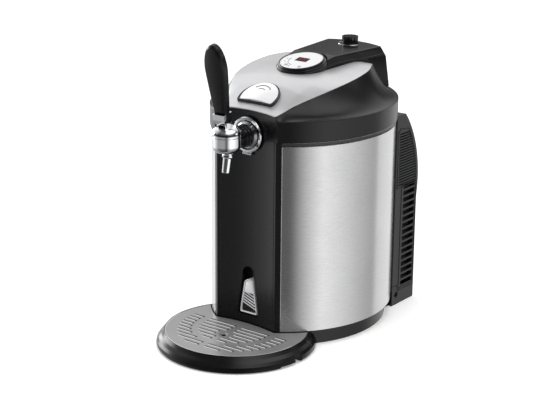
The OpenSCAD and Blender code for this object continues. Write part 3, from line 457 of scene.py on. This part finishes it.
def lid_plate():
    """Silver top plate, with the release button's hole."""
    rows, cols, corner_steps = 90, 40, 12
    thick, gap = 1.5, 0.45
    ys = [-CORNER_Y + (PLATE_REAR + CORNER_Y) * i / rows for i in range(rows)]
    ys += [PLATE_REAR - PLATE_REAR_R * (1 - math.sin(math.pi / 2 * k / corner_steps))
           for k in range(1, corner_steps + 1)]
    ys = sorted(set(round(y, 3) for y in ys if y < PLATE_REAR - 0.2)) + [PLATE_REAR - 0.15]
    top, low = [], []
    for y in ys:
        half = along(y, HALF) - gap - plate_shrink(y)
        xs = [half * (2 * j / cols - 1) for j in range(cols + 1)]
        top.append([(x, bent_y(x, y), plate_height(x, y)) for x in xs])
        low.append([(x, bent_y(x, y), plate_height(x, y) - thick) for x in xs])
    ob = mesh_piece("lid_silver_plate", *slab(top, low), "silver_plastic", "lid", "lid_plate", smooth=50)
    pierce(ob, half_moon(2.3), edge=0.7, edge_angle=40)


# ------------------------------------------------------------------ ridge and display

def ridge_section(t):
    """At a share t of the ridge: depth on the lid, foot and crest, each (half width, depth, height)."""
    front, foot_rear, crest_rear = -25, 137, 133
    y = mix(front, LID_REAR, t)
    foot_half, crest_half = mix(37, 58, t), mix(33, 50, t)
    foot_z = max(mix(397.5, 403.6, t), surface_height(foot_half, y) + 0.8)
    crest_z = mix(408.6, 418.5, min(1, 3.3 * t))
    foot = (foot_half, mix(front, foot_rear, t), foot_z)
    crest = (crest_half, mix(front, crest_rear, t), crest_z)
    return y, foot, crest


def ridge():
    """Black ridge from the display to the rear, with the round hole that the display's bezel sits in."""
    rows, crown_steps, bulge, crown_rise = 48, 16, 10, 0.8
    top, low = [], []
    for i in range(rows + 1):
        t = i / rows
        y, foot, crest = ridge_section(t)
        wall = [between(foot, crest, k) for k in (0, 0.33, 0.66)]
        half, crest_y, crest_z = crest
        crown = []
        for j in range(crown_steps + 1):
            x = half * (2 * j / crown_steps - 1)
            u = 1 - (x / half) ** 2
            crown.append((x, crest_y + bulge * t * u, crest_z + crown_rise * u))
        line = [(-p[0], p[1], p[2]) for p in wall] + crown + wall[::-1]
        top.append(line)
        low.append([(x, bent_y(x, y), min(surface_height(x, y) + 0.25, z - 0.3)) for x, _, z in line])
    ob = mesh_piece("ridge_shell", *slab(top, low), "ridge_plastic", "lid", "ridge_housing", smooth=50)
    bore, faces = spun([(0.01, -22), (40.1, -22), (40.1, 60), (0.01, 60)])
    pierce(ob, (placed(bore, FACE_AT, FACE_TILT), faces), edge=1.3)


def bezel():
    """Black ring round the display, in three rounded steps."""
    profile = [(30.0, -9), (30.0, -1.6), (33.0, -1.6),
               (33.0, 0.1), (33.2, 0.6), (33.9, 0.9), (34.8, 0.7), (35.4, 0.1), (35.6, -0.8),
               (35.5, -1.8), (35.0, -2.4),
               (35.6, -2.7), (36.6, -2.8), (37.4, -3.2), (37.8, -3.9), (37.8, -4.7), (37.3, -5.3),
               (37.9, -5.6), (38.8, -5.7), (39.5, -6.1), (39.9, -6.9), (40.0, -7.8), (40.0, -20)]
    points, faces = spun(profile, 144)
    settle(mesh_piece("stepped_bezel", placed(points, FACE_AT, FACE_TILT), faces, "gloss_black", "lid",
                      "display_bezel", smooth=50))


def handle():
    """Lever handle: a paddle with chamfered faces, as wide as a hand's grip at its shoulder."""
    length, shoulder, half, foot, thick = 105, 68, 18, 11, 15
    pivot, lean, out, base = (0, -195, 334), 11, -3, 35
    arc_steps, side_steps = 48, 12

    def outline(inset):
        a, b = half - inset, length - shoulder - inset
        ring = []
        for k in range(arc_steps + 1):
            w = math.pi * k / arc_steps
            ring.append((a * math.cos(w), shoulder + b * math.sin(w)))
        side = []
        for k in range(1, side_steps + 1):
            t = k / side_steps
            side.append((mix(a, foot - inset, t ** 1.15), mix(shoulder, inset, t)))
        return ring + [(-x, z) for x, z in side] + side[::-1]

    front, rear = -thick / 2, thick / 2
    levels = [(4.2, front), (3.2, front + 0.25), (0.5, front + 2.9), (0, front + 3.6),
              (0, rear - 3.6), (0.5, rear - 2.9), (3.2, rear - 0.25), (4.2, rear)]
    rings = [placed([(x, y + out, z + base) for x, z in outline(inset)], pivot, lean)
             for inset, y in levels]
    lofted("tap_paddle", rings, "handle_plastic", "tap_lever", "tap_handle", smooth=28)


def on_face(x, y, z=0.05):
    """Point above the display's face."""
    return placed([(x, y, z)], FACE_AT, FACE_TILT)[0]


def face_marks():
    """Generic marks on the display face and the scale round the knob."""
    arc = [on_face(*circle(20.5, a)) for a in range(172, 262, 6)]
    tube("face_arc", arc, 0.4, "gloss_black", "lid", 6)
    for k, a in enumerate((182, 206, 230, 254)):
        x, y = circle(24.5, a)
        tick = [on_face(x, y), on_face(x * 1.09, y * 1.09)]
        tube("face_tick_%d" % k, tick, 0.42, "gloss_black", "lid", 6)
    corners = ((-10.4, -3.4), (10.4, -3.4), (10.4, 9.4), (-10.4, 9.4))
    tube("window_frame", [on_face(x, y, 0.1) for x, y in corners], 0.3, "gloss_black", "lid", 6, True)
    knob_y, scale_r, crown_z, crown_half = 121, 18.6, 418.55, 48
    scale = []
    for a in range(170, 346, 5):
        x, y = circle(scale_r, a)
        scale.append((x, knob_y + y, crown_z + 0.8 * (1 - (x / crown_half) ** 2)))
    tube("knob_scale", scale, 0.55, "chrome", "lid", 6)


def display_digits():
    """Two seven-segment numerals in the display window."""
    stroke_x, stroke_y, lean, middle_y, height = 1.55, 1.6, 0.12, 3, 0.22
    strokes = {"top": (-1, 2, 1, 2), "middle": (-1, 0, 1, 0), "foot": (-1, -2, 1, -2),
               "upper_left": (-1, 2, -1, 0), "upper_right": (1, 2, 1, 0),
               "lower_left": (-1, 0, -1, -2), "lower_right": (1, 0, 1, -2)}
    numerals = ((-3.4, ("top", "foot", "upper_left", "upper_right", "lower_left", "lower_right")),
                (3.4, ("middle", "upper_left", "upper_right", "lower_right")))
    for i, (centre, lit) in enumerate(numerals):
        for key in lit:
            x1, y1, x2, y2 = strokes[key]
            path = [on_face(centre + stroke_x * x + lean * y, middle_y + stroke_y * y, height)
                    for x, y in ((x1, y1), (x2, y2))]
            tube("digit_%d_%s" % (i, key), path, 0.36, "digits", "lid", 6)


def button_marks():
    """Generic raised arcs on the release button's dome."""
    dome_r, dome_y, dome_top, arcs_y, sunk = 100, 18, 5, 15, 0.1
    for name, r, start, end, width in (("outer", 17, 38, 142, 0.8), ("inner", 9, 50, 130, 0.65)):
        arc = []
        for k in range(21):
            x, y = circle(r, mix(start, end, k / 20))
            y += arcs_y
            z = dome_top - dome_r + math.sqrt(dome_r ** 2 - x * x - (y - dome_y) ** 2)
            arc += placed([(x, y, z - sunk)], BUTTON_AT, BUTTON_TILT)
        tube("button_arc_" + name, arc, width, "gloss_black", "release_button")


# ------------------------------------------------------------------ housing, body and tray

def housing_lines():
    """Raised frames on the rear housing's two sides, and the line above its foot."""
    front, half_width = 107, 103
    arc_r, arc_y, arc_z, inset = 170, 4, 205, 6.5
    heights = [mix(198.5, 292, k / 16) for k in range(17)]
    louvres = [(front + 4.5, 198.5)]
    louvres += [(arc_y + math.sqrt((arc_r - inset) ** 2 - (z - arc_z) ** 2), z) for z in heights]
    louvres += [(front + 10, 296), (front + 4.5, 290)]
    windows = [(126.5, 26), (125.5, 29), (125.5, 199), (128, 202), (166, 202), (168.5, 199), (168.5, 29),
               (167.5, 26)]
    foot = [(front + 1, 33), (120.5, 33), (123.5, 22.5), (170, 22.5)]
    for side_name, side in SIDES:
        for name, line, r, closed in (("louvre_frame_", louvres, 0.9, True),
                                      ("window_frame_", windows, 0.9, True),
                                      ("foot_line_", foot, 0.7, False)):
            path = [(side * half_width, y, z) for y, z in line]
            tube(name + side_name, path, r, "grey_plastic", "housing", closed=closed)


def steel_edges():
    """Folded front edges of the two steel sides, and their hems under the lid's seam."""
    fold_y, rear_y, hem_z = -143, 106, 313.7
    fold_x = lens_half(fold_y, 0)
    ys = [mix(fold_y + 0.6, rear_y, k / 60) for k in range(61)]
    for name, side in SIDES:
        fold = [(side * (fold_x + 0.1), fold_y + 0.3, z) for z in (25.6, 120, 220, 313.6)]
        tube("steel_fold_" + name, fold, 0.55, "plain_steel", "housing")
        hem = [(side * (lens_half(y, 0) - 0.25), y, hem_z) for y in ys]
        tube("steel_hem_" + name, hem, 0.5, "plain_steel", "housing")


def ridge_edges():
    """Fine beads along the ridge's two top edges and along its side walls."""
    for name, share, start, lift in (("top", 1.0, 0.2, -0.25), ("side", 0.30, 0.12, 0.0)):
        for side_name, side in SIDES:
            path = []
            for k in range(31):
                _, foot, crest = ridge_section(mix(start, 0.985, k / 30))
                x, y, z = between(foot, crest, share)
                path.append((side * (x + lift), y, z + lift))
            tube("ridge_%s_%s" % (name, side_name), path, 0.5, "gloss_black", "lid")


def seam_bead():
    """Thin bead under the lid's seam, round both sides of the body."""
    front_y, rear_y, bead_z = -142, 106, 319.9
    ys = [mix(front_y, rear_y, k / 60) for k in range(61)]
    for name, side in SIDES:
        bead = [(side * (lens_half(y, 0.8) - 0.1), y, bead_z) for y in ys]
        tube("seam_bead_" + name, bead, 0.4, "plain_steel", "housing")


def tray_lips():
    """Rolled lips of the tray plate's slots and a bead round the plate's rim, in a lighter silver as
    painted highlight, and matt black tubes along the slots' rear walls as painted shade.
    """
    tray_y, top, plate_r = -170, 24, 108.8
    slot_w, slot_rows, slot_pitch, first_row, drain_at = 4, 10, 10, 7, -31
    inner_r, band_r, outer_r, centre_gap, drain_gap = 58, 68, 90, 4.5, 13

    def chord(r, d):
        return math.sqrt(r * r - d * d) if d < r else 0

    lips, shade_tubes = [], []
    for i in range(slot_rows):
        d = first_row - slot_pitch * i
        inner, outer = chord(inner_r, abs(d)), chord(outer_r, abs(d))
        start = max(centre_gap, chord(band_r, abs(d)))
        spans = []
        if inner > 14:
            spans.append((drain_gap if abs(d - drain_at) < 9 else centre_gap, inner))
        if outer - start > 12:
            spans.append((start, outer))
        lip_y, wall_y = tray_y + d - slot_w / 2 - 0.5, tray_y + d + slot_w / 2 - 0.5
        for x0, x1 in spans:
            a, middle, b = x0 + slot_w / 2, (x0 + x1) / 2, x1 - slot_w / 2
            for _, side in SIDES:
                lips.append([(side * x, lip_y, top + 0.1) for x in (a, middle, b)])
                shade_tubes.append([(side * x, wall_y, top - 1.15) for x in (a - 0.6, middle, b + 0.6)])
    # The lips are real rounded edges in a lighter silver than the plate's steel: painted highlight
    tubes("slot_lips", lips, 0.75, "button_silver", "tray_plate")
    # Matt black tubes inside each slot along its rear wall: painted shade in the slots
    tubes("slot_painted_shade", shade_tubes, 1.0, "rubber", "tray_plate")
    # Bead standing for the plate's rounded edge, in the same lighter silver: painted highlight
    rim = []
    for degrees in range(182, 359, 2):
        x, y = circle(plate_r - 0.6, degrees)
        rim.append((x, tray_y + y, top - 0.15))
    tube("plate_rim", rim, 0.5, "button_silver", "tray_plate")


def drop_outline(grow, floor=None):
    """Ring of (x, z) of the slider's upright drop shape, grown by that much and cut off below a floor."""
    half, foot, low = 15.5 + grow, 39.5 - grow, 45.5 - grow
    centre, r = 86, 8.5 + grow
    reach = math.hypot(half, low - centre)
    start = math.atan2(low - centre, half) + math.acos(r / reach)
    angles = [mix(start, math.pi - start, k / 24) for k in range(25)]
    arc = [(r * math.cos(a), centre + r * math.sin(a)) for a in angles]
    if floor is None:
        return [(half, foot), (half, low)] + arc + [(-half, low), (-half, foot)]
    x, z = arc[0]
    edge = mix(half, x, (floor - low) / (z - low))
    return [(edge, floor)] + arc + [(-edge, floor)]


def slider():
    """The chrome slider: an arched frame with a raised pad, slanting ribs and an open mouth at its foot."""
    front, back, hollow, wall = -141.0, -127.3, -137.6, 1.9
    pad_gap, pad_floor = 0.9, 72.5
    ribs, rib_y, first_rib, rib_pitch, taper = 5, -138.1, 51.5, 4.6, 0.184

    def ring(y, grow, floor=None):
        return [(x, y, z) for x, z in drop_outline(grow, floor)]

    frame_levels = [(0, back), (0, front + 1.2), (-0.2, front + 0.5), (-0.6, front + 0.1), (-1.0, front),
                    (-1.4, front + 0.2), (-wall, front + 0.9), (-wall, hollow + 0.2), (-wall, back)]
    lofted("slider_frame", [ring(y, grow) for grow, y in frame_levels], "button_silver", "tray_slider",
           "tray_slider", ends=False)
    # Gloss black back of the hollow behind the pad: painted shade in the slider's recess
    lofted("slider_recess_shade", [ring(y, 0.05 - wall) for y in (back + 0.1, hollow)], "gloss_black",
           "tray_slider")
    pad_levels = [(0, hollow), (0, -139.8), (-0.3, -140.4), (-0.9, -140.8), (-1.8, -141.0)]
    pad = [ring(y, grow - wall - pad_gap, pad_floor - grow) for grow, y in pad_levels]
    lofted("slider_pad", pad, "button_silver", "tray_slider")
    slant = math.tan(math.radians(20))
    for i in range(ribs):
        z = first_rib + rib_pitch * i
        # The frame narrows upwards, so each rib's lower, right end reaches further than its left end
        a, b = taper * (z - 44.5) - 13.4, 13.4 - taper * (z - first_rib)
        rib = [(a, rib_y, z - a * slant), (b, rib_y, z - b * slant)]
        tube("slider_rib_%d" % i, rib, 0.95, "button_silver", "tray_slider", 12)


lid_cover()
lid_plate()
ridge()
bezel()
handle()
face_marks()
housing_lines()
steel_edges()
ridge_edges()
seam_bead()
tray_lips()
slider()
display_digits()
button_marks()


# ------------------------------------------------------------------ stage, light and camera

# Belts of light that metal and gloss reflect, as (degrees from +X towards +Y, brightness):
# at table height, above it, a large soft light above the front right, a narrow lamp on the left
# and a small panel on the right
LOW = [(-180, 0.75), (-156, 1.15), (-140, 0.80), (-118, 0.34), (-66, 0.34), (-55, 0.16), (-44, 0.16),
       (-32, 0.75), (-12, 1.50), (8, 1.20), (30, 0.84), (57, 0.50), (60, 0.98), (103, 0.98), (109, 0.22),
       (116, 0.22), (124, 0.80), (150, 0.95), (168, 1.1), (180, 0.9)]
HIGH = [(-180, 0.95), (-150, 0.55), (-120, 0.06), (-44, 0.06), (-30, 0.2), (0, 0.2), (42, 0.1),
        (56, 0.1), (64, 0.2), (76, 0.8), (100, 1.0), (150, 1.1), (180, 0.85)]
ABOVE = [(-180, 0.06), (-66, 0.06), (-34, 1.0), (40, 1.0), (70, 0.12), (180, 0.12)]
LAMP = [(-180, 1.0), (-168, 1.0), (-160, 0.0), (146, 0.0), (154, 1.0), (180, 1.0)]
PANEL = [(-180, 0.0), (26, 0.0), (34, 1.0), (48, 1.0), (54, 0.0)]
# How much of each belt shows by height: 0 is straight down, 0.5 level and 1 straight up
LOW_SHARE = [(0.0, 0.15), (0.20, 0.4), (0.33, 1.0), (0.43, 1.0), (0.51, 0.1), (0.60, 0.0)]
HIGH_SHARE = [(0.0, 0.0), (0.56, 0.1), (0.63, 0.1), (0.68, 1.0), (0.86, 1.0), (0.96, 0.0)]
ABOVE_SHARE = [(0.75, 0.0), (0.80, 0.32), (0.85, 0.78), (0.92, 0.9), (1.0, 0.7)]
LAMP_SHARE = [(0.49, 0.0), (0.52, 1.0), (0.64, 1.0), (0.68, 0.0)]
PANEL_SHARE = [(0.57, 0.0), (0.61, 1.0), (0.67, 1.0), (0.71, 0.0)]
BELTS = ((LOW, LOW_SHARE, 1.0), (HIGH, HIGH_SHARE, 1.0), (ABOVE, ABOVE_SHARE, 2.0),
         (LAMP, LAMP_SHARE, 6.0), (PANEL, PANEL_SHARE, 1.2))
FOR_MATT, FOR_CAMERA = 0.95, 1.0


def studio():
    """World that is even for matt surfaces, white for the camera, and in belts for reflections."""
    world = bpy.data.worlds.new("studio")
    bpy.context.scene.world = world
    world.use_nodes = True
    nt = world.node_tree
    nt.nodes.clear()
    coord = nt.nodes.new("ShaderNodeTexCoord")
    sep = nt.nodes.new("ShaderNodeSeparateXYZ")
    nt.links.new(coord.outputs["Generated"], sep.inputs[0])

    def maths(op, a, b):
        n = nt.nodes.new("ShaderNodeMath")
        n.operation = op
        for socket, v in zip(n.inputs, (a, b)):
            if isinstance(v, (int, float)):
                socket.default_value = v
            else:
                nt.links.new(v, socket)
        return n.outputs[0]

    angle = maths("ARCTAN2", sep.outputs["Y"], sep.outputs["X"])
    turn = maths("ADD", maths("DIVIDE", angle, 2 * math.pi), 0.5)
    tall = maths("ADD", maths("MULTIPLY", sep.outputs["Z"], 0.5), 0.5)

    def light(belt, share, strength):
        """Brightness of a belt; its ramp holds half the values, so that none is over 1."""
        half = ramp(nt, turn, [((degrees + 180) / 360, v / 2) for degrees, v in belt])
        return maths("MULTIPLY", maths("MULTIPLY", half, ramp(nt, tall, share)), 2 * strength)

    level = light(*BELTS[0])
    for belt in BELTS[1:]:
        level = maths("ADD", level, light(*belt))
    path = nt.nodes.new("ShaderNodeLightPath")
    soft = nt.nodes.new("ShaderNodeMix")
    nt.links.new(path.outputs["Is Diffuse Ray"], soft.inputs[0])
    nt.links.new(level, soft.inputs[2])
    soft.inputs[3].default_value = FOR_MATT
    mixed = nt.nodes.new("ShaderNodeMix")
    nt.links.new(path.outputs["Is Camera Ray"], mixed.inputs[0])
    nt.links.new(soft.outputs[0], mixed.inputs[2])
    mixed.inputs[3].default_value = FOR_CAMERA
    bg = nt.nodes.new("ShaderNodeBackground")
    bg.inputs["Color"].default_value = (1, 1, 1, 1)
    nt.links.new(mixed.outputs[0], bg.inputs["Strength"])
    out = nt.nodes.new("ShaderNodeOutputWorld")
    nt.links.new(bg.outputs[0], out.inputs[0])


def stage_plane():
    """Pale floor that takes the object's shadow and isn't seen in reflections."""
    half = 6.0
    corners = [(-half, -half, 0), (half, -half, 0), (half, half, 0), (-half, half, 0)]
    me = bpy.data.meshes.new("floor")
    me.from_pydata(corners, [], [(0, 1, 2, 3)])
    ob = bpy.data.objects.new("floor", me)
    bpy.context.collection.objects.link(ob)
    m = bpy.data.materials.new("floor")
    m.use_nodes = True
    nt = m.node_tree
    bsdf = nt.nodes["Principled BSDF"]
    bsdf.inputs["Roughness"].default_value = 0.9
    bsdf.inputs["Specular IOR Level"].default_value = 0.0
    bsdf.inputs["Emission Color"].default_value = (1, 1, 1, 1)
    bsdf.inputs["Emission Strength"].default_value = 0.22
    nt.links.new(ramp(nt, noise(nt, 3.0), [(0.3, 0.92), (0.7, 0.94)]), bsdf.inputs["Base Color"])
    me.materials.append(m)
    ob.visible_glossy = False


def top_light():
    """Soft lamp above the front that isn't seen in reflections."""
    at, to = Vector((0.1, -0.3, 1.9)), Vector((0, 0, 0.3))
    data = bpy.data.lights.new("top", "AREA")
    data.energy = 14
    data.size = 1.2
    ob = bpy.data.objects.new("top", data)
    bpy.context.collection.objects.link(ob)
    ob.location = at
    ob.rotation_euler = (to - at).to_track_quat("-Z", "Y").to_euler()
    ob.visible_glossy = False


def camera():
    """Camera solved from the photograph."""
    data = bpy.data.cameras.new("camera")
    data.sensor_width = 36
    data.lens = 102.28
    data.clip_start = 0.05
    ob = bpy.data.objects.new("camera", data)
    bpy.context.collection.objects.link(ob)
    right = Vector((0.798596, 0.601811, 0.008225))
    up = Vector((-0.185810, 0.233524, 0.954432))
    back = Vector((0.572467, -0.763734, 0.298314))
    place = Matrix((right, up, back)).transposed().to_4x4()
    place.translation = (1.33307, -1.86986, 0.89610)
    ob.matrix_world = place
    bpy.context.scene.camera = ob


studio()
stage_plane()
top_light()
camera()
bpy.context.scene.view_settings.view_transform = "Standard"
